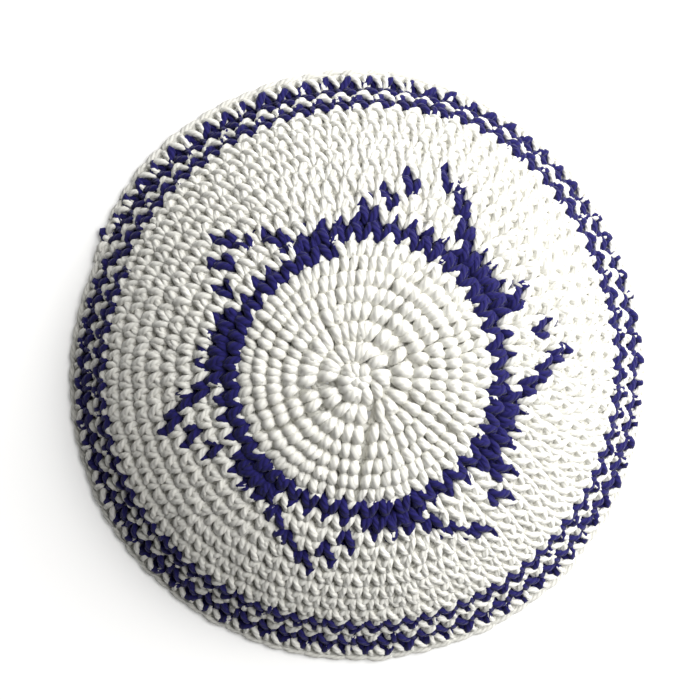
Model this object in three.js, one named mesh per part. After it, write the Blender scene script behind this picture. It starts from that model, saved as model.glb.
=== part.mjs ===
// A crocheted kippah skullcap: a shallow cotton dome, open below, worked from its centre to its rim.
// Millimetres, +Z up. The rim stands on the plane z = 0, with the middle of its outline at the origin.

import * as THREE from 'three';

// Driving sizes
const roundPitch = 4.58;      // from one round of stitches to the next, along the cloth
const clothThickness = 3.6;   // two layers of yarn, over the ribs
const ribDepth = 0.7;         // how far the cloth dips between two rounds
const bandGap = 0.3;          // left between two bands of the cloth
const rimFoot = 2.4;          // width of the flat that the rim stands on
const segments = 60;          // round the dome
const stepsPerRound = 8;      // in adding up the dome's curve

// The rim's outline from above: an oval with three slight lobes, and the small step where the last
// round of the spiral ends
const ovalDepth = 1.05;       // half the difference between its long and short radius
const ovalAngle = 94;         // degrees, from +X to the long axis
const lobeDepth = 0.55;
const lobeAngle = -40;
const spiralEnd = 152;        // degrees, where the yarn is fastened off
const spiralStep = 2.0;       // how much wider the rim is just before that place than just past it

// The dome's slope below the horizontal, by the number of rounds from the centre
const slopes = [
  { round: 0, slope: 0 },
  { round: 7.4, slope: 16 },
  { round: 9, slope: 23 },
  { round: 11, slope: 29.5 },
  { round: 13, slope: 36 },
  { round: 15, slope: 40.5 },
  { round: 17, slope: 43 },
  { round: 20.5, slope: 46 },
];

// The bands of the cloth. from and to are rounds from the centre, and ribs is how many rounds show.
const bands = [
  { name: 'crown_top', from: 0, to: 7.42, ribs: 7, yarn: 'white' },
  { name: 'star_band', from: 7.42, to: 12.42, ribs: 5, yarn: 'blue' },
  { name: 'side_band', from: 12.42, to: 16.56, ribs: 4, yarn: 'white' },
  { name: 'border_inner', from: 16.56, to: 17.56, ribs: 1, yarn: 'blue' },
  { name: 'border_middle', from: 17.56, to: 18.56, ribs: 1, yarn: 'white' },
  { name: 'border_outer', from: 18.56, to: 19.56, ribs: 1, yarn: 'blue' },
  { name: 'rim_edge', from: 19.56, to: 20.34, ribs: 1, yarn: 'white' },
];
const lastRound = bands[bands.length - 1].to;

const yarns = {
  white: { color: 0xecebe3, roughness: 0.9, metalness: 0 },
  blue: { color: 0x2b2a66, roughness: 0.85, metalness: 0 },
};

function slopeAt(round) {
  const above = slopes.findIndex((entry) => entry.round >= round);
  const upper = slopes[Math.max(above, 1)];
  const lower = slopes[Math.max(above, 1) - 1];
  const share = (round - lower.round) / (upper.round - lower.round);
  return THREE.MathUtils.degToRad(lower.slope + share * (upper.slope - lower.slope));
}

// The middle of the cloth: its distance from the axis and its drop below the apex, at a round
function meridian(round) {
  const steps = Math.max(Math.ceil(round * stepsPerRound), 1);
  const length = (round * roundPitch) / steps;
  let radius = 0;
  let drop = 0;
  for (let i = 0; i < steps; i += 1) {
    const slope = slopeAt(((i + 0.5) * round) / steps);
    radius += length * Math.cos(slope);
    drop += length * Math.sin(slope);
  }
  return { radius, drop, slope: slopeAt(round) };
}

const domeDrop = meridian(lastRound).drop;

// How far the outline stands out from a circle at the rim, growing from nothing at the centre
function outlineShift(angle, round) {
  const turn = (degrees) => angle - THREE.MathUtils.degToRad(degrees);
  const atRim = ovalDepth * Math.cos(2 * turn(ovalAngle)) + lobeDepth * Math.cos(3 * turn(lobeAngle));
  return atRim * (round / lastRound) ** 2;
}

// How much of the last turn of the spiral lies behind this angle, from 0 to 1
function turnDone(angle) {
  const degrees = THREE.MathUtils.radToDeg(angle) - spiralEnd;
  return THREE.MathUtils.euclideanModulo(degrees, 360) / 360;
}

// A point of the cloth, side +1 on its outer face and -1 on its inner face
function clothPoint(angle, round, side, thickness) {
  const { radius, drop, slope } = meridian(round);
  const offset = (side * thickness) / 2;
  const r = radius + outlineShift(angle, round) + offset * Math.sin(slope);
  return { r, z: domeDrop - drop + offset * Math.cos(slope) };
}

// One band's section at an angle: down its ribbed outer face, then back up its inner face
function bandSection(band, angle) {
  const halfGap = bandGap / 2 / roundPitch;
  const start = band.from === 0 ? 0 : band.from + halfGap;
  const end = band.to - halfGap;
  const outer = [];
  const inner = [];
  for (let i = 0; i <= band.ribs * 2; i += 1) {
    const round = start + ((end - start) * i) / (band.ribs * 2);
    const dip = i % 2 === 0 && round > 0 ? 2 * ribDepth : 0;
    outer.push(clothPoint(angle, round, 1, clothThickness - dip));
    if (i % 2 === 0) {
      inner.push(clothPoint(angle, round, -1, clothThickness));
    }
  }
  return { outer, inner };
}

// The rim's section: it narrows towards the flat foot, whose radius follows the end of the spiral
function rimSection(band, angle) {
  const start = band.from + bandGap / 2 / roundPitch;
  const step = spiralStep * (turnDone(angle) - 0.5);
  const foot = meridian(lastRound).radius + outlineShift(angle, lastRound) + step;
  const shoulder = clothPoint(angle, (start + lastRound) / 2, 1, clothThickness);
  const outer = [
    clothPoint(angle, start, 1, clothThickness - 2 * ribDepth),
    { r: shoulder.r + step / 2, z: shoulder.z },
    { r: foot + rimFoot / 2, z: 0 },
  ];
  const inner = [clothPoint(angle, start, -1, clothThickness), { r: foot - rimFoot / 2, z: 0 }];
  return { outer, inner };
}

// A closed band: the sections are joined round the axis, and a crown closes on the axis
function bandGeometry(band) {
  const positions = [];
  const index = [];
  const sectionOf = band.to === lastRound ? rimSection : bandSection;
  const crown = band.from === 0;
  let count = 0;
  for (let s = 0; s < segments; s += 1) {
    const angle = (s / segments) * Math.PI * 2;
    const { outer, inner } = sectionOf(band, angle);
    const ring = crown ? [...outer.slice(1), ...inner.slice(1).reverse()] : [...outer, ...inner.reverse()];
    count = ring.length;
    ring.forEach(({ r, z }) => positions.push(r * Math.cos(angle), r * Math.sin(angle), z));
  }
  const corner = (s, i) => (s % segments) * count + (i % count);
  const sides = crown ? count - 1 : count;
  for (let s = 0; s < segments; s += 1) {
    for (let i = 0; i < sides; i += 1) {
      index.push(corner(s, i), corner(s, i + 1), corner(s + 1, i + 1));
      index.push(corner(s, i), corner(s + 1, i + 1), corner(s + 1, i));
    }
  }
  if (crown) {
    const top = positions.length / 3;
    positions.push(0, 0, domeDrop + clothThickness / 2);
    positions.push(0, 0, domeDrop - clothThickness / 2);
    for (let s = 0; s < segments; s += 1) {
      index.push(top, corner(s, 0), corner(s + 1, 0));
      index.push(top + 1, corner(s + 1, count - 1), corner(s, count - 1));
    }
  }
  const geometry = new THREE.BufferGeometry();
  geometry.setAttribute('position', new THREE.Float32BufferAttribute(positions, 3));
  geometry.setIndex(index);
  geometry.computeVertexNormals();
  return geometry;
}

const kippah = new THREE.Group();
bands.forEach((band) => {
  const mesh = new THREE.Mesh(bandGeometry(band), new THREE.MeshStandardMaterial(yarns[band.yarn]));
  mesh.name = band.name;
  kippah.add(mesh);
});

// The middle of the outline goes over the origin
const outline = new THREE.Box3().setFromObject(kippah);
kippah.position.set(-(outline.min.x + outline.max.x) / 2, -(outline.min.y + outline.max.y) / 2, 0);

export default kippah;
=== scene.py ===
import math
import bpy
import numpy as np
from mathutils import Matrix, Vector


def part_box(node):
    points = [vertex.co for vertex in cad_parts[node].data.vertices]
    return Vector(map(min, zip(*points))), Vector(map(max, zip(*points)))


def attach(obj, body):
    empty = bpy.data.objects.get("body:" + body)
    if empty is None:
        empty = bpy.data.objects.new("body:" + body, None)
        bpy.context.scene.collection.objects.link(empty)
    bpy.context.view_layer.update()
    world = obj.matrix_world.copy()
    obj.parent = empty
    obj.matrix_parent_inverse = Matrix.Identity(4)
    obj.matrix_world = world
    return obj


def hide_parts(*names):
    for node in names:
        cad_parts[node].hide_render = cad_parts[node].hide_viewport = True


# A crocheted kippah: every stitch is laid along one spiral, from the centre of the dome to its rim.
# Sizes in the dictionaries are millimetres and degrees, but metres for the floor, camera and light.
# Angles run counter-clockwise from +X, seen from above, which is also the way that the cap was worked.
# Rounds are counted from the centre of the cap, and turns from where the blue ring starts.

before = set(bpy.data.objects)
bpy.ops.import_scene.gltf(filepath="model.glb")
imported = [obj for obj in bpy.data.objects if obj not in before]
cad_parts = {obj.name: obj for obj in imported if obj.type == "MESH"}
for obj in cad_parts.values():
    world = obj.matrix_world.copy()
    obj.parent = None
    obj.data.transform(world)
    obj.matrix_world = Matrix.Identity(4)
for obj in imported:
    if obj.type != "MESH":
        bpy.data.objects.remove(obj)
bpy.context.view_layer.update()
mm = 0.001
rng = np.random.default_rng(2031)

# The spiral
spiral = {
    "counts": (3, 6, 12, 18, 24, 30, 36, 42, 48, 54, 60, 66, 72, 78, 84),   # stitches in each round
    "ringRound": 9,              # the blue ring is the ninth of them
    "ringAngle": 100.6,          # where it starts
    "ringAt": 6.92,              # rounds from the centre to that place
    "borderTurn": 9.143,         # turns from there to the start of the border
    "borderBlue": (0, 2),        # the rounds of the border that are blue
    "lastTurn": 13.143,          # turns to the end of the yarn
    "lean": 0.2,                 # stitch widths that each round sits to the right of the one below
    # and how far each round's stitches are out of step with the last, so that wider places don't line up
    "stagger": (0.0, 0.4, -0.2, 0.3, -0.4, 0.15, -0.3, 0.45, -0.1, 0.25, -0.45, 0.05, -0.25, 0.35),
    "pairGap": 0.24,             # between two stitches in one hole, and the hole's middle
    "centreHole": 0.05,          # the first stitches start this far from the centre, in rounds
    "give": 0.35,                # how far a stitch follows its hole, from an even place in its round
    "giveEnds": 3,               # and it does so less in this many stitches at a round's ends
    "edgeHeight": 0.80,          # the last round is lower than the others
    "taperStitches": 4,
}
lastAngle = spiral["ringAngle"] + 360 * spiral["lastTurn"]


def turnRound(angle):
    return spiral["ringAt"] + (angle - spiral["ringAngle"]) / 360


def stitchCount(number):
    return spiral["counts"][min(number, len(spiral["counts"]) - 1)]


def workInto(below, even):
    # Each stitch goes into the nearest one below, so that some of those take two where the round grows
    count = len(even)
    reach = even - 360 + spiral["lean"] * 360 / count
    parent = np.abs(below["even"][None] - reach[:, None]).argmin(1)
    if count == len(below["even"]):
        parent = np.arange(count)
    holes = below["angle"][parent] + 360
    holeRounds = turnRound(holes - 360) + 1
    pair = np.flatnonzero(parent[1:] == parent[:-1])
    quarter = 360 / count / 4
    ideal = holes.copy()
    ideal[pair] -= quarter
    ideal[pair + 1] += quarter
    shift = ideal - even
    fromEnd = np.minimum(np.arange(count), np.arange(count)[::-1]) + 0.5
    angles = even + (shift - shift.mean()) * spiral["give"] * np.clip(fromEnd / spiral["giveEnds"], 0, 1)
    gap = spiral["pairGap"] * 360 / count
    holes[pair] -= gap
    holes[pair + 1] += gap
    return angles, holes, holeRounds


def layStitches():
    rows = []
    start = spiral["ringAngle"] - 360 * (spiral["ringRound"] - 1)
    below = None
    while start < lastAngle:
        number = len(rows)
        count = stitchCount(number)
        grows = stitchCount(number + 1) != count
        slide = spiral["lean"] + (spiral["stagger"][number] if grows else 0)
        sweep = 360 - slide * 360 / count
        even = start + (np.arange(count) + 0.5) * sweep / count
        if below:
            angles, holes, holeRounds = workInto(below, even)
        else:
            angles, holes, holeRounds = even, even, np.full(count, spiral["centreHole"])
        keep = angles < lastAngle
        rows.append({"angle": angles[keep], "holeAngle": holes[keep], "holeRound": holeRounds[keep],
                     "topRound": turnRound(angles[keep]) + 1, "width": np.full(keep.sum(), 360 / count)})
        below = {"angle": angles, "even": even}
        start += sweep
    return {name: np.concatenate([row[name] for row in rows]) for name in rows[0]}


stitches = layStitches()
turn = (stitches["holeAngle"] - spiral["ringAngle"]) / 360
total = len(turn)
print("laid", total, "stitches")

# The last round is lower, and its last few stitches taper off to the end of the yarn
stitchHeight = np.where(turn >= spiral["lastTurn"] - 1, spiral["edgeHeight"], 1.0)
tapered = spiral["taperStitches"]
stitchHeight[-tapered:] *= np.arange(tapered, 0, -1) / (tapered + 1)


def awayFrom(middle, angles):
    return np.mod(angles - middle + 180, 360) - 180


# The star's chart. Each point stands on its own direction, and the angles are from there.
star = {
    "points": (67.7, 8.8, -48.5, -106.7, -164.2, 135.8),
    "ground": (-18.0, 16.5),     # white between these angles, in the round above the ring
    "groundEnd": 1.975,          # and white from this turn to the end of that round
    "linesFrom": 2,              # in the rounds from this turn there is one blue stitch at each of
    "left": (14.0, 5.4),         # these, and on the right, where each is this far from the one before
    "right": (-13.4, 6.4, 5.0),
}


def isBlue(turns, angles):
    blue = (turns >= 0) & (turns < star["groundEnd"])
    lines = [*enumerate(star["left"], star["linesFrom"]),
             *enumerate(np.cumsum(star["right"]), star["linesFrom"])]
    for point in star["points"]:
        away = awayFrom(point, angles)
        blue &= (turns < 1) | (away < star["ground"][0]) | (away > star["ground"][1])
    for point in star["points"]:
        for row, offset in lines:
            here = np.flatnonzero((turns >= row) & (turns < row + 1))
            nearest = np.abs(awayFrom(point + offset, angles[here])).argmin()
            blue[here[nearest]] = True
    past = turns - spiral["borderTurn"]
    for row in spiral["borderBlue"]:
        blue |= (past >= row) & (past < row + 1)
    return blue


blueStitch = isBlue(turn, stitches["holeAngle"])

# The cloth's surface
cloth = {
    "roundPitch": 4.58,          # from one round to the next, along the cloth
    "slopeRounds": (0, 7.4, 9, 11, 13, 15, 17, 20.5, 22.5),
    "slopes": (0, 16, 23, 29.5, 36, 40.5, 43, 47, 62),
    "spreadRounds": (0, 1, 2, 3, 4.5, 6, 7.5),       # the first rounds are slacker
    "spread": (0, 0.10, 0.28, 0.45, 0.38, 0.2, 0),   # and lie this many rounds further out
    "edgeRound": 20.34,          # where the rim's edge lies, on average round the cap
    "ovalDepth": 1.05, "ovalAngle": 94,
    "lobeDepth": 0.55, "lobeAngle": -40,
    "rimRest": 1.15,             # height of the middle of the cloth where it stands on the floor
    "addedUp": 24, "steps": 4800,    # the rounds that its curve is added up over, and in how many steps
}


def buildMeridian():
    rounds = np.linspace(0, cloth["addedUp"], cloth["steps"] + 1)
    slope = np.radians(np.interp(rounds, cloth["slopeRounds"], cloth["slopes"]))
    step = cloth["roundPitch"] * (rounds[1] - rounds[0])
    radius = np.concatenate([[0], np.cumsum(np.cos(slope) * step)[:-1]])
    drop = np.concatenate([[0], np.cumsum(np.sin(slope) * step)[:-1]])
    return {"rounds": rounds, "radius": radius, "drop": drop, "slope": slope}


meridian = buildMeridian()
crownCorners = np.array(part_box("crown_top")) / mm
axis = crownCorners.mean(0)[:2]     # the dome's axis, from its round crown


def along(column, rounds):
    return np.interp(rounds, meridian["rounds"], meridian[column])


apexHeight = float(along("drop", cloth["edgeRound"])) + cloth["rimRest"]


def outlineShift(angle, rounds):
    atRim = (cloth["ovalDepth"] * np.cos(2 * (angle - math.radians(cloth["ovalAngle"])))
             + cloth["lobeDepth"] * np.cos(3 * (angle - math.radians(cloth["lobeAngle"]))))
    return atRim * (rounds / cloth["edgeRound"]) ** 2


# The soft cloth isn't quite round between its crown and its rim: how far each round is pushed towards
# +X and +Y, how much wider it is along the long angle than across it, how much closer it lies all
# round, and how far it bulges by one star point
drape = {
    "rounds": (0, 7.4, 12, 16.2, 17.9, 19.6, 20.9),
    "toX": (0, 0.8, 0.9, 0.7, 1.0, 0.7, 0),
    "toY": (0, 0.45, 0.45, 0.35, 0.35, -1.0, -1.1),
    "wider": (0, 0.1, 0.5, 0.9, 1.0, 1.3, 0.5),
    "closer": (0, 0.85, 0.7, -0.2, 1.3, 2.2, 0.6),
    "bulge": (0, 0.3, 2.4, 2.0, 1.7, 0.3, 0),
    "longAngle": 17,
    "bulgeAngle": 63, "bulgeWidth": 24,
}


def drapeShift(angle, rounds):
    toX, toY, wider, closer, bulge = (np.interp(rounds, drape["rounds"], drape[name])
                                      for name in ("toX", "toY", "wider", "closer", "bulge"))
    oval = np.cos(2 * (angle - math.radians(drape["longAngle"])))
    away = awayFrom(drape["bulgeAngle"], np.degrees(angle))
    bulge = bulge * np.exp(-(away / drape["bulgeWidth"]) ** 2)
    return toX * np.cos(angle) + toY * np.sin(angle) + wider * oval - closer + bulge


# The last turn ends a round further out than it starts, and the cloth gives so that it all rests: how
# much higher it lies at the rim, by the share of that turn that lies behind
levelling = {
    "share": (0, 0.07, 0.955, 1),
    "higher": (-0.5, -1.55, 1.45, -0.5),
    "power": 8,                  # how steeply this fades towards the crown
    "furthest": 1.02,            # and where it stops growing, where 1 is the rim's edge
}


def levelShift(angle, rounds):
    done = np.mod(np.degrees(angle) - lastAngle, 360) / 360
    fade = np.clip(rounds / cloth["edgeRound"], 0, levelling["furthest"]) ** levelling["power"]
    return np.interp(done, levelling["share"], levelling["higher"]) * fade


def clothPoint(angle, rounds, out):
    rounds = rounds + np.interp(rounds, cloth["spreadRounds"], cloth["spread"])
    slope = along("slope", rounds)
    radius = along("radius", rounds) + outlineShift(angle, rounds) + out * np.sin(slope)
    radius += drapeShift(angle, rounds)
    height = apexHeight - along("drop", rounds) + out * np.cos(slope) + levelShift(angle, rounds)
    return np.stack([axis[0] + radius * np.cos(angle), axis[1] + radius * np.sin(angle), height], -1)


# How the stitches change from round to round: the turns, then the values there
change = {
    "lean": ((-8, -3, 0, 2, 4, 9), (0.0, 0.10, 0.15, 0.10, 0.0, -0.30)),    # to the right, in widths
    "open": ((-8, -1, 0.5, 4, 7, 9), (1.0, 1.05, 1.25, 1.25, 1.05, 0.92)),  # how wide the V stands
    "fullness": ((-8, -1, 1, 4, 6, 8, 9.5), (2.00, 1.80, 1.46, 1.42, 1.42, 1.34, 1.16)),
    "slip": ((-8, 6, 9), (0, 0, 0.27)),             # how far its tooth lies to the left, in widths
    "upright": ((-8, -1.5, 0.2), (1, 1, 0)),        # its legs stand side by side in the crown
    "roll": ((-8, -1.4, -0.9), (1.5, 1.4, 0)),      # where each round is a roll, this much higher
}

# One stitch, as the points that its strands pass through. across is in stitch widths to the right
# of the line between this stitch's hole and the next round's, up is in rounds from this hole, out is
# from the middle of the cloth, and thick is the yarn's thickness there. upright takes the place of
# across where the two legs of a V stand side by side. A strand that leans also opens with the V, and
# fills and rolls are how much of the fullness and the roll above it takes.
strands = {
    "loop": {     # the V on the face: up the right leg, over the top and down the long left leg
        "sides": 8, "segments": 25, "leans": True, "fills": 1, "rolls": 1,
        "points": (
            {"across": 0.07, "upright": 0.10, "up": 0.06, "out": -0.90, "thick": 0.62},
            {"across": 0.09, "upright": 0.14, "up": 0.00, "out": 0.10, "thick": 0.66},
            {"across": 0.12, "upright": 0.17, "up": 0.08, "out": 1.05, "thick": 0.68},
            {"across": 0.155, "upright": 0.19, "up": 0.25, "out": 1.50, "thick": 0.70},
            {"across": 0.17, "upright": 0.19, "up": 0.48, "out": 1.50, "thick": 0.72},
            {"across": 0.165, "upright": 0.18, "up": 0.72, "out": 1.15, "thick": 0.72},
            {"across": 0.13, "upright": 0.14, "up": 0.88, "out": 0.50, "thick": 0.72},
            {"across": 0.00, "upright": 0.02, "up": 0.96, "out": -0.10, "thick": 0.74},
            {"across": -0.20, "upright": -0.08, "up": 0.98, "out": -0.35, "thick": 0.78},
            {"across": -0.42, "upright": -0.20, "up": 0.95, "out": -0.05, "thick": 0.80},
            {"across": -0.57, "upright": -0.33, "up": 0.85, "out": 0.60, "thick": 0.80},
            {"across": -0.50, "upright": -0.34, "up": 0.70, "out": 1.20, "thick": 0.80},
            {"across": -0.36, "upright": -0.32, "up": 0.50, "out": 1.55, "thick": 0.78},
            {"across": -0.22, "upright": -0.30, "up": 0.27, "out": 1.55, "thick": 0.72},
            {"across": -0.12, "upright": -0.27, "up": 0.09, "out": 1.05, "thick": 0.68},
            {"across": -0.09, "upright": -0.22, "up": 0.00, "out": 0.10, "thick": 0.66},
            {"across": -0.07, "upright": -0.14, "up": 0.06, "out": -0.90, "thick": 0.62},
        ),
    },
    "tooth": {    # the front of the chain link on top, drawn up between the next round's stitches
        "sides": 8, "segments": 10, "leans": False, "fills": 0.15, "rolls": 2,
        "points": (
            {"across": -0.94, "up": 0.98, "out": -0.50, "thick": 0.70},
            {"across": -0.84, "up": 0.99, "out": 0.35, "thick": 0.90},
            {"across": -0.72, "up": 1.07, "out": 0.95, "thick": 1.04},
            {"across": -0.58, "up": 1.19, "out": 1.20, "thick": 1.10},
            {"across": -0.46, "up": 1.30, "out": 1.10, "thick": 1.08},
            {"across": -0.36, "up": 1.28, "out": 0.60, "thick": 1.00},
            {"across": -0.28, "up": 1.12, "out": 0.00, "thick": 0.85},
            {"across": -0.20, "up": 1.00, "out": -0.60, "thick": 0.70},
        ),
    },
    "edgeLink": {     # the chain along the rim, in place of the tooth
        "sides": 8, "segments": 8, "leans": False, "fills": 0, "rolls": 0,
        "points": (
            {"across": -1.16, "up": 1.16, "out": 0.20, "thick": 0.80},
            {"across": -0.92, "up": 1.18, "out": 0.65, "thick": 0.88},
            {"across": -0.62, "up": 1.20, "out": 0.85, "thick": 0.92},
            {"across": -0.32, "up": 1.21, "out": 0.65, "thick": 0.92},
            {"across": -0.04, "up": 1.21, "out": 0.20, "thick": 0.88},
            {"across": 0.20, "up": 1.19, "out": -0.35, "thick": 0.80},
        ),
    },
    "backLink": {     # the back of that link, on the inside of the cap
        "sides": 6, "segments": 7, "leans": False, "fills": 0.2, "rolls": 0,
        "points": (
            {"across": -1.16, "up": 1.04, "out": -0.50, "thick": 0.74},
            {"across": -0.95, "up": 1.12, "out": -0.95, "thick": 0.90},
            {"across": -0.65, "up": 1.20, "out": -1.10, "thick": 1.02},
            {"across": -0.35, "up": 1.22, "out": -0.95, "thick": 0.94},
            {"across": -0.10, "up": 1.14, "out": -0.50, "thick": 0.78},
        ),
    },
    "backRise": {     # behind the stitch, from its hole up to its top
        "sides": 6, "segments": 6, "leans": True, "fills": 0.4, "rolls": 0,
        "points": (
            {"across": -0.04, "up": 0.04, "out": -0.35, "thick": 0.80},
            {"across": -0.14, "up": 0.26, "out": -0.40, "thick": 1.10},
            {"across": -0.26, "up": 0.58, "out": -0.45, "thick": 1.22},
            {"across": -0.34, "up": 0.90, "out": -0.75, "thick": 0.94},
        ),
    },
    "backSlant": {    # and from the top of the stitch before, down into this hole
        "sides": 6, "segments": 7, "leans": True, "fills": 0.4, "rolls": 0,
        "points": (
            {"across": 0.50, "up": 1.02, "out": -0.75, "thick": 0.90},
            {"across": 0.42, "up": 0.80, "out": -0.60, "thick": 1.08},
            {"across": 0.30, "up": 0.45, "out": -0.45, "thick": 1.18},
            {"across": 0.16, "up": 0.16, "out": -0.50, "thick": 1.00},
            {"across": 0.03, "up": 0.00, "out": -0.40, "thick": 0.76},
        ),
    },
}

yarn = {
    "radius": 1.0,
    "jitter": (0.035, 0.035, 0.10),    # of each stitch: across, up, out
    "pointJitter": 0.5,                # and of each point of its strands, as a share of that
    "sizeJitter": 0.065,
    "lumps": 0.045,                    # how uneven the yarn's surface is
    "mostUneven": 0.1,                 # neither of these is ever further out
    "mapShift": 40,                    # the yarn map starts up to this much further on
}

stitch = {
    "middle": -0.13,                   # of a V, in stitch widths
    "follows": (-0.1, 1.3),            # its strands keep to the line from hole to hole between these
    "rollFoot": 0.65, "rollFuller": 0.2,    # a roll bends down past its foot, and its yarn is fuller
    "blueFuller": 1.08,                # the blue rounds hide the white yarn below them
    "blueReach": 0.55,                 # and their teeth reach further up between the white stitches
    "innermost": 0.04,                 # no strand is closer to the centre, in rounds
    "overFloor": 0.1,
}

stitchJitter = rng.normal(0, 1, (total, 3)) * np.array(yarn["jitter"])
sizeJitter = 1 + rng.normal(0, yarn["sizeJitter"], total).clip(-yarn["mostUneven"], yarn["mostUneven"])
stitchShade = rng.random(total)


def changing(name, chosen):
    return np.interp(turn[chosen], *change[name])[:, None]


def splineWeights(pointCount, segments):
    # Catmull-Rom weights that carry a strand's points to an even run of samples
    weights = np.zeros((segments + 1, pointCount))
    for i, t in enumerate(np.linspace(0, pointCount - 1, segments + 1)):
        k = min(int(t), pointCount - 2)
        f = t - k
        parts = (-f + 2 * f**2 - f**3, 2 - 5 * f**2 + 3 * f**3, f + 4 * f**2 - 3 * f**3, -f**2 + f**3)
        for j, part in zip((k - 1, k, k + 1, k + 2), parts):
            weights[i, min(max(j, 0), pointCount - 1)] += part / 2
    return weights


def sampleStrand(strand, chosen):
    # The strand in the stitch's own measures, a little different in each one
    points = np.array([[p["across"], p["up"], p["out"]] for p in strand["points"]])
    uneven = rng.normal(0, 1, (len(chosen), len(points), 3)) * np.array(yarn["jitter"])
    local = points[None] + stitchJitter[chosen][:, None] + uneven * yarn["pointJitter"]
    upright = np.array([p.get("upright", p["across"]) - p["across"] for p in strand["points"]])
    local[..., 0] += upright * changing("upright", chosen)
    weights = splineWeights(len(points), strand["segments"])
    thick = weights @ np.array([p["thick"] for p in strand["points"]])
    return np.einsum("nm,smc->snc", weights, local), thick


def placeStrand(name, chosen):
    # The samples of one strand in each chosen stitch, and its radius there
    strand = strands[name]
    local, thick = sampleStrand(strand, chosen)
    across, up, out = local[..., 0], local[..., 1] * stitchHeight[chosen][:, None], local[..., 2]
    columns = ("holeAngle", "angle", "holeRound", "topRound", "width")
    hole, top, holeRound, topRound, width = (stitches[column][chosen][:, None] for column in columns)
    blue = blueStitch[chosen][:, None]
    if name == "tooth":
        across = across - changing("slip", chosen)
        up = up + (up - 1).clip(0) * np.where(blue, stitch["blueReach"], 0)
    if strand["leans"]:
        opened = (across - stitch["middle"]) * changing("open", chosen) + stitch["middle"]
        across = opened + changing("lean", chosen) * np.clip(up, 0, 1)
    roll = changing("roll", chosen) * strand["rolls"]
    swell = roll * (np.sin(np.pi * np.clip(up, 0, 1)) - stitch["rollFoot"])
    fullness = 1 + (changing("fullness", chosen) - 1) * strand["fills"]
    size = yarn["radius"] * sizeJitter[chosen][:, None] * fullness * np.where(blue, stitch["blueFuller"], 1)
    radius = thick * size * (1 + stitch["rollFuller"] * swell)
    angle = hole + (top - hole) * np.clip(up, *stitch["follows"]) - across * width
    rounds = holeRound + (topRound - holeRound) * up - across * width / 360
    centres = clothPoint(np.radians(angle), np.maximum(rounds, stitch["innermost"]), out + swell)
    # the rim rests on the floor
    centres[..., 2] = np.maximum(centres[..., 2], radius + stitch["overFloor"])
    return centres, radius


startAside = np.array([0.31, 0.17, 0.93])     # no strand starts in this direction


def sweepTubes(centres, radius, sides):
    # Rings of points round each centre line, carried along it without twisting
    tangents = np.gradient(centres, axis=1)
    tangents /= np.linalg.norm(tangents, axis=-1, keepdims=True)
    side = np.cross(tangents[:, 0], startAside)
    rings = []
    turnAngles = np.arange(sides) * 2 * math.pi / sides
    for i in range(centres.shape[1]):
        side = side - tangents[:, i] * (side * tangents[:, i]).sum(-1, keepdims=True)
        side /= np.linalg.norm(side, axis=-1, keepdims=True)
        other = np.cross(tangents[:, i], side)
        ring = (side[:, None] * np.cos(turnAngles)[None, :, None]
                + other[:, None] * np.sin(turnAngles)[None, :, None])
        rings.append(centres[:, i][:, None] + ring * radius[:, i][:, None, None])
    return np.stack(rings, 1)


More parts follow.
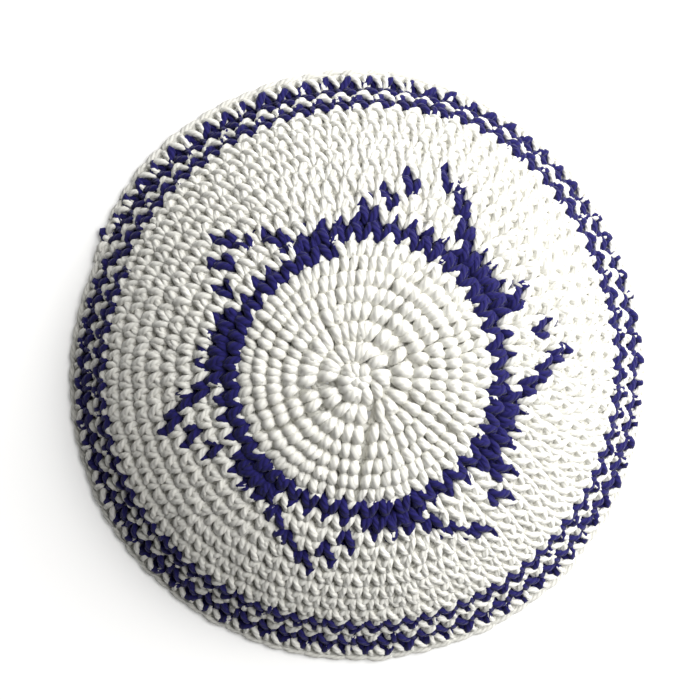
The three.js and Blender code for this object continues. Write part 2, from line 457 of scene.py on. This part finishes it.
class MeshParts:
    # Gathers tubes, and joins them into one mesh with a yarn map: around, and along in millimetres
    def __init__(self):
        self.points, self.loops, self.starts, self.maps, self.shades = [], [], [], [], []
        self.pointCount = 0
        self.loopCount = 0

    def addTubes(self, centres, radius, sides, shade):
        rings = sweepTubes(centres, radius, sides)
        tubes, steps = rings.shape[:2]
        lumps = rng.normal(0, yarn["lumps"], (tubes, steps, sides, 1))
        lumps = 1 + lumps.clip(-yarn["mostUneven"], yarn["mostUneven"])
        rings = centres[:, :, None] + (rings - centres[:, :, None]) * lumps
        run = np.zeros((tubes, steps))
        run[:, 1:] = np.cumsum(np.linalg.norm(np.diff(centres, axis=1), axis=-1), axis=1)
        run += (shade * yarn["mapShift"])[:, None]
        corner = self.pointCount + np.arange(tubes * steps * sides).reshape(tubes, steps, sides)
        nextSide = np.roll(corner, -1, axis=2)
        quads = np.stack([corner[:, :-1], nextSide[:, :-1], nextSide[:, 1:], corner[:, 1:]], -1)
        around = np.arange(sides) / sides
        quadMap = np.zeros(quads.shape + (2,))
        quadMap[..., 0] = around[None, None, :, None] + np.array([0, 1, 1, 0]) / sides
        quadMap[..., 1] = np.stack([run[:, :-1], run[:, :-1], run[:, 1:], run[:, 1:]], -1)[:, :, None]
        caps = np.concatenate([corner[:, 0, ::-1], corner[:, -1]])
        capMap = np.zeros(caps.shape + (2,))
        self.starts.append(self.loopCount + np.arange(quads.size // 4) * 4)
        self.starts.append(self.loopCount + quads.size + np.arange(len(caps)) * sides)
        self.loops += [quads.ravel(), caps.ravel()]
        self.maps += [quadMap.reshape(-1, 2), capMap.reshape(-1, 2)]
        self.points.append(rings.reshape(-1, 3) * mm)
        self.shades.append(np.repeat(shade, steps * sides))
        self.pointCount += tubes * steps * sides
        self.loopCount += quads.size + caps.size

    def makeObject(self, name, material):
        mesh = bpy.data.meshes.new(name)
        points = np.concatenate(self.points)
        loops, starts = np.concatenate(self.loops), np.concatenate(self.starts)
        mesh.vertices.add(len(points))
        mesh.vertices.foreach_set("co", points.astype(np.float32).ravel())
        mesh.loops.add(len(loops))
        mesh.loops.foreach_set("vertex_index", loops.astype(np.int32))
        mesh.polygons.add(len(starts))
        mesh.polygons.foreach_set("loop_start", starts.astype(np.int32))
        mesh.update(calc_edges=True)
        layer = mesh.uv_layers.new(name="yarn")
        layer.uv.foreach_set("vector", np.concatenate(self.maps).astype(np.float32).ravel())
        shade = mesh.attributes.new("shade", "FLOAT", "POINT")
        shade.data.foreach_set("value", np.concatenate(self.shades).astype(np.float32))
        mesh.shade_smooth()
        mesh.materials.append(material)
        piece = bpy.data.objects.new(name, mesh)
        bpy.context.collection.objects.link(piece)
        triangles = len(loops) - 2 * len(starts)
        print(name, triangles, "triangles")
        return piece


# Shader maths
class Socket:
    def __init__(self, nodes, link):
        self.nodes, self.link = nodes, link

    def apply(self, operation, *others):
        return self.nodes.add("ShaderNodeMath", {"operation": operation}, {
            i: value for i, value in enumerate((self, *others))})

    def sibling(self, output):
        return Socket(self.nodes, self.link.node.outputs[output])

    def __add__(self, other):
        return self.apply("ADD", other)

    def __mul__(self, other):
        return self.apply("MULTIPLY", other)

    def __truediv__(self, other):
        return self.apply("DIVIDE", other)

    def __pow__(self, other):
        return self.apply("POWER", other)


class Nodes:
    def __init__(self, name):
        self.material = bpy.data.materials.new(name)
        self.material.use_nodes = True
        self.tree = self.material.node_tree
        self.tree.nodes.clear()

    def add(self, kind, settings=None, inputs=None, output=0):
        node = self.tree.nodes.new(kind)
        for name, value in (settings or {}).items():
            setattr(node, name, value)
        for name, value in (inputs or {}).items():
            if isinstance(value, Socket):
                self.tree.links.new(value.link, node.inputs[name])
            else:
                node.inputs[name].default_value = value
        return Socket(self, node.outputs[output]) if node.outputs else None

    def mix(self, factor, first, second):
        # 6 and 7 are the node's two colours, and 2 is the mixed one
        sockets = {"Factor": factor, 6: first, 7: second}
        return self.add("ShaderNodeMix", {"data_type": "RGBA"}, sockets, 2)

    def finish(self, shader):
        self.add("ShaderNodeOutputMaterial", {}, {"Surface": shader})
        return self.material


# The cotton: plies that wind round each other, of fine fibres, in two colours, with painted shade in the
# grooves between the plies
cotton = {
    "plies": 4, "twistLength": 7.0, "plyRoundness": 0.6,
    "fibreAround": 6, "fibreAlong": 0.5, "fibreApart": 30,    # how far apart the noise is read
    "fibreScale": 1.4, "fibreDetail": 3.0, "fibreRoughness": 0.6,
    "blotchScale": 260.0, "blotchDetail": 2.0,
    "plyRelief": 0.75, "fibreRelief": 0.5,
    # the plies' share darkens the colour in the grooves between them, as painted shade
    "plyShadeShare": 0.7, "fibreColour": 0.3, "tinted": 0.6,      # how much each tells in the colour
    "roughnessRange": 0.16, "sheenRoughness": 0.5, "specular": 0.25,
}
whiteCotton = {
    "name": "whiteCottonYarn",
    # the second colour here is painted shade: the white made darker in the grooves between the plies
    "crest": (0.86, 0.855, 0.81, 1), "paintedGrooveShade": (0.72, 0.71, 0.66, 1), "tint": (0.80, 0.785, 0.72, 1),
    "roughness": 0.88, "sheen": 0.25, "bumpDistance": 0.22, "bumpStrength": 0.7,
}
blueCotton = {
    "name": "blueCottonYarn",
    # the second colour here is painted shade: the blue made darker in the grooves between the plies
    "crest": (0.013, 0.010, 0.130, 1), "paintedGrooveShade": (0.004, 0.003, 0.058, 1), "tint": (0.008, 0.0055, 0.095, 1),
    "roughness": 0.85, "sheen": 0.12, "bumpDistance": 0.28, "bumpStrength": 0.9,
}


def cottonMaterial(look):
    nodes = Nodes(look["name"])
    yarnMap = nodes.add("ShaderNodeUVMap", {"uv_map": "yarn"})
    around = nodes.add("ShaderNodeSeparateXYZ", {}, {"Vector": yarnMap})
    run = around.sibling(1)
    shade = nodes.add("ShaderNodeAttribute", {"attribute_name": "shade"}, {}, 2)
    place = nodes.add("ShaderNodeNewGeometry")
    ply = around * cotton["plies"] + run / cotton["twistLength"] * cotton["plies"]
    lobe = (ply * (2 * math.pi)).apply("COSINE") * 0.5 + 0.5
    crest = lobe ** cotton["plyRoundness"]
    fibreAt = nodes.add("ShaderNodeCombineXYZ", {}, {
        0: ply * cotton["fibreAround"], 1: run * cotton["fibreAlong"], 2: shade * cotton["fibreApart"]})
    fibre = nodes.add("ShaderNodeTexNoise", {}, {
        "Vector": fibreAt, "Scale": cotton["fibreScale"], "Detail": cotton["fibreDetail"],
        "Roughness": cotton["fibreRoughness"]})
    blotch = nodes.add("ShaderNodeTexNoise", {}, {
        "Vector": place, "Scale": cotton["blotchScale"], "Detail": cotton["blotchDetail"]})
    bump = nodes.add("ShaderNodeBump", {}, {
        "Strength": look["bumpStrength"], "Distance": look["bumpDistance"] * mm,
        "Height": crest * cotton["plyRelief"] + fibre * cotton["fibreRelief"]})
    lit = crest * cotton["plyShadeShare"] + fibre * cotton["fibreColour"]
    # painted shade: the colour darkens from each ply's crest down into the groove beside it, and the fibre
    # noise varies the tone
    colour = nodes.mix(lit, look["paintedGrooveShade"], look["crest"])
    colour = nodes.mix(blotch * shade * cotton["tinted"], colour, look["tint"])
    smoothest = look["roughness"] - cotton["roughnessRange"] / 2
    shader = nodes.add("ShaderNodeBsdfPrincipled", {}, {
        "Base Color": colour,
        "Roughness": fibre * cotton["roughnessRange"] + smoothest,
        "Sheen Weight": look["sheen"],
        "Sheen Roughness": cotton["sheenRoughness"],
        "Specular IOR Level": cotton["specular"],
        "Normal": bump,
    })
    return nodes.finish(shader)


whiteMaterial = cottonMaterial(whiteCotton)
blueMaterial = cottonMaterial(blueCotton)
print("made the cotton")

# The pieces: a run of the spiral in one colour, and the band of the cloth that it stands for
border = spiral["borderTurn"]
pieces = (
    {"name": "crownStitches", "from": -math.inf, "to": 0, "blue": False, "node": "crown_top"},
    {"name": "ringStitches", "from": 0, "to": 1, "blue": True, "node": "star_band"},
    {"name": "starPointStitches", "from": 1, "to": 5, "blue": True, "node": "star_band"},
    {"name": "starGroundStitches", "from": 1, "to": 5, "blue": False, "node": "star_band"},
    {"name": "upperSideStitches", "from": 5, "to": 7, "blue": False, "node": "side_band"},
    {"name": "lowerSideStitches", "from": 7, "to": border, "blue": False, "node": "side_band"},
    {"name": "borderInnerStitches", "from": border, "to": border + 1, "blue": True, "node": "border_inner"},
    {"name": "borderMiddleStitches", "from": border + 1, "to": border + 2, "blue": False,
     "node": "border_middle"},
    {"name": "borderOuterStitches", "from": border + 2, "to": border + 3, "blue": True,
     "node": "border_outer"},
    {"name": "rimStitches", "from": border + 3, "to": math.inf, "blue": False, "node": "rim_edge"},
)

for entry in pieces:
    chosen = np.flatnonzero((turn >= entry["from"]) & (turn < entry["to"]) & (blueStitch == entry["blue"]))
    leftOut = "tooth" if entry["node"] == "rim_edge" else "edgeLink"
    parts = MeshParts()
    for name, strand in strands.items():
        if name != leftOut:
            centres, radius = placeStrand(name, chosen)
            parts.addTubes(centres, radius, strand["sides"], stitchShade[chosen])
    piece = parts.makeObject(entry["name"], blueMaterial if entry["blue"] else whiteMaterial)
    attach(piece, "root")
    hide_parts(entry["node"])

# Floor
floor = {"size": 3.0, "colour": (0.9, 0.9, 0.9, 1), "roughness": 0.9, "specular": 0.1, "glow": 0.25}
bpy.ops.mesh.primitive_plane_add(size=floor["size"], location=(0, 0, 0))
floorPlane = bpy.context.object
floorPlane.name = "floor"
floorNodes = Nodes("paleFloor")
floorPlane.data.materials.append(floorNodes.finish(floorNodes.add("ShaderNodeBsdfPrincipled", {}, {
    "Base Color": floor["colour"], "Roughness": floor["roughness"], "Specular IOR Level": floor["specular"],
    "Emission Color": floor["colour"], "Emission Strength": floor["glow"]})))
print("laid the floor")

# Camera
camera = {
    "lens": 89.6, "sensor": 36.0, "near": 0.01,
    "distance": 0.489,
    "lean": (-0.0185, 0.049),          # of the view from straight above, to the left and the far side
    "target": (-0.0017, 0.0045, 0.0),
}
view = bpy.data.cameras.new("view")
view.lens, view.sensor_width, view.clip_start = camera["lens"], camera["sensor"], camera["near"]
viewer = bpy.data.objects.new("view", view)
bpy.context.collection.objects.link(viewer)
back = Vector((*camera["lean"], 1)).normalized()
right = Vector((0, 1, 0)).cross(back).normalized()
viewer.location = Vector(camera["target"]) + back * camera["distance"]
viewer.rotation_euler = Matrix((right, back.cross(right), back)).transposed().to_euler()
bpy.context.scene.camera = viewer

# One large soft light at the upper right, and a little light from all round
key = {"at": (0.81, 0.47, 0.77), "size": 1.5, "power": 39, "colour": (1, 0.995, 0.98)}
lamp = bpy.data.lights.new("key", "AREA")
lamp.energy, lamp.size, lamp.color = key["power"], key["size"], key["colour"]
holder = bpy.data.objects.new("key", lamp)
holder.location = key["at"]
holder.rotation_euler = Vector(key["at"]).to_track_quat("Z", "Y").to_euler()
bpy.context.collection.objects.link(holder)

room = {"colour": (1, 1, 1, 1), "strength": 0.03}
world = bpy.data.worlds.new("room")
world.use_nodes = True
world.node_tree.nodes["Background"].inputs["Color"].default_value = room["colour"]
world.node_tree.nodes["Background"].inputs["Strength"].default_value = room["strength"]
bpy.context.scene.world = world
bpy.context.scene.view_settings.view_transform = "Standard"
print("lit the scene")
